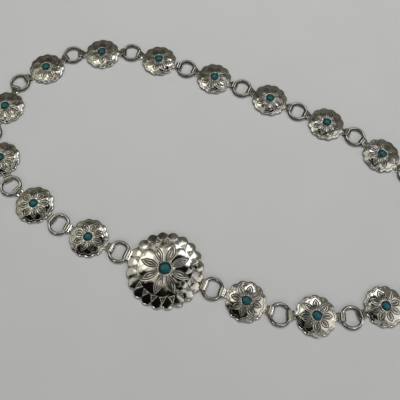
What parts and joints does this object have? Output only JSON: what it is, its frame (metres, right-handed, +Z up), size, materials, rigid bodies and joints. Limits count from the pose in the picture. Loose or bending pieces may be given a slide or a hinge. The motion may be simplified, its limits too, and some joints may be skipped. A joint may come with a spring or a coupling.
{
  "type": "concho belt",
  "caption": "Linked belt laid in a closed loop: domed, scalloped silver conchos, each set with a round turquoise, joined by wire rings, with a large buckle concho that hooks shut.",
  "frame": {"origin": "on the surface that the belt lies on, below the middle of its bounding box", "axes": "+X along the loop's longer way, +Y across it from the buckle's side to the far side, +Z up out of the surface"},
  "size_m": [0.3718, 0.2484, 0.0078],
  "materials": {
    "silver": "polished silver, darkened in the stamped lines",
    "turquoise": "polished deep blue-green turquoise cabochons"
  },
  "bodies": {
    "root": {"buckle_concho": "silver", "concho_01": "silver", "concho_02": "silver", "concho_03": "silver", "concho_04": "silver", "concho_05": "silver", "concho_06": "silver", "concho_07": "silver", "concho_08": "silver", "concho_09": "silver", "concho_10": "silver", "concho_11": "silver", "concho_12": "silver", "concho_13": "silver", "concho_14": "silver", "concho_15": "silver", "concho_16": "silver", "buckle_stone": "turquoise", "stone_01": "turquoise", "stone_02": "turquoise", "stone_03": "turquoise", "stone_04": "turquoise", "stone_05": "turquoise", "stone_06": "turquoise", "stone_07": "turquoise", "stone_08": "turquoise", "stone_09": "turquoise", "stone_10": "turquoise", "stone_11": "turquoise", "stone_12": "turquoise", "stone_13": "turquoise", "stone_14": "turquoise", "stone_15": "turquoise", "stone_16": "turquoise", "ring_01": "silver", "ring_02": "silver", "ring_03": "silver", "ring_04": "silver", "ring_05": "silver", "ring_06": "silver", "ring_07": "silver", "ring_08": "silver", "ring_09": "silver", "ring_10": "silver", "ring_11": "silver", "ring_12": "silver", "ring_13": "silver", "ring_14": "silver", "ring_15": "silver", "ring_16": "silver", "ring_17": "silver"}
  },
  "joints": []
}
